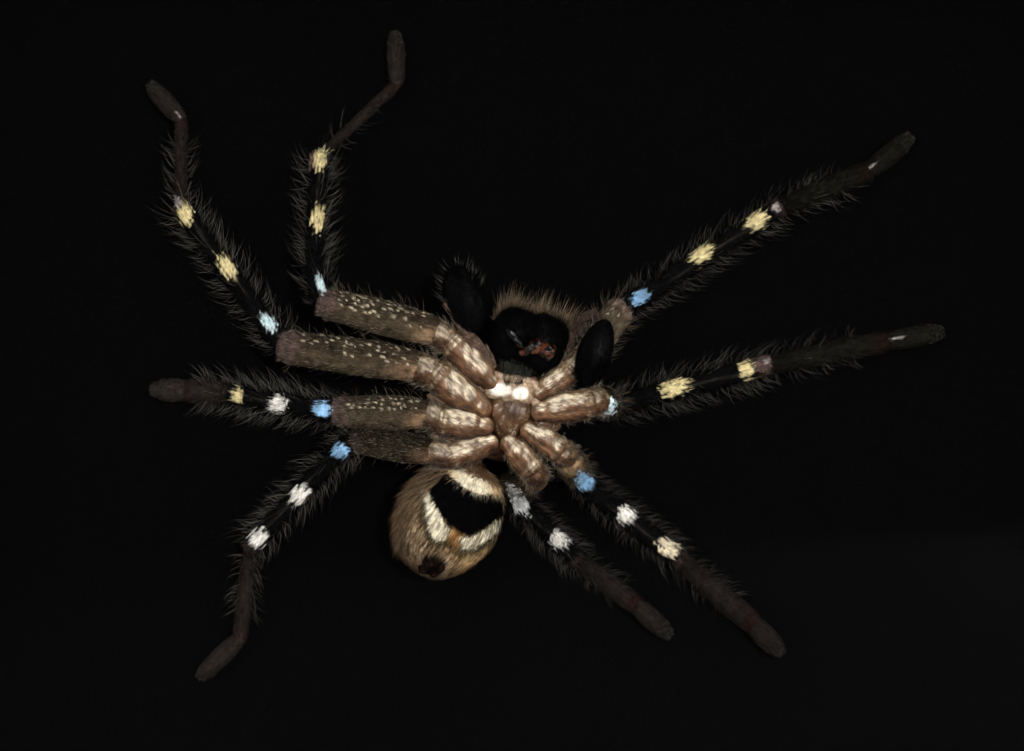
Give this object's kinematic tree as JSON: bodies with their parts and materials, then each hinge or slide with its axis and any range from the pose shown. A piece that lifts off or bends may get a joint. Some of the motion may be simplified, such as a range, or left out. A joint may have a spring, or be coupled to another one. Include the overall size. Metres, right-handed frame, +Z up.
{
  "type": "framed huntsman spider specimen",
  "caption": "Large huntsman spider mounted underside out on black board inside a small glazed box frame that stands or hangs.",
  "frame": {"origin": "middle of the frame's footprint, on the surface that it stands on", "axes": "+X to the right of a viewer facing the glass, +Z up, the glass faces -Y"},
  "size_m": [0.1772, 0.036, 0.1264],
  "materials": {
    "frame_wood": "dark stained, satin",
    "glazing": "clear, low reflection",
    "liner": "matt black card",
    "board": "matt black, fine tooth",
    "panel": "brown hardboard",
    "fittings": "zinc grey",
    "body_cuticle": "dry cuticle, satin",
    "abdomen_hair": "short brown fur, black and cream badge",
    "black_cuticle": "glossy black cuticle",
    "leg_cuticle": "dark banded, hairy"
  },
  "bodies": {
    "root": {"frame_rail_bottom": "frame_wood", "frame_rail_left": "frame_wood", "frame_rail_top": "frame_wood", "frame_rail_right": "frame_wood", "glass_pane": "glazing", "spacer_bottom": "liner", "spacer_top": "liner", "spacer_left": "liner", "spacer_right": "liner", "backing_board": "board", "back_panel": "panel", "framing_point_1": "fittings", "framing_point_2": "fittings", "framing_point_3": "fittings", "framing_point_4": "fittings", "framing_point_5": "fittings", "framing_point_6": "fittings", "sawtooth_hanger": "fittings", "hanger_nail_left": "fittings", "hanger_nail_right": "fittings", "cephalothorax": "body_cuticle", "abdomen": "abdomen_hair", "chelicera_left": "black_cuticle", "chelicera_right": "black_cuticle", "palp_left": "black_cuticle", "palp_right": "black_cuticle", "leg_left_1": "leg_cuticle", "leg_left_2": "leg_cuticle", "leg_left_3": "leg_cuticle", "leg_left_4": "leg_cuticle", "leg_right_1": "leg_cuticle", "leg_right_2": "leg_cuticle", "leg_right_3": "leg_cuticle", "leg_right_4": "leg_cuticle"}
  },
  "joints": []
}
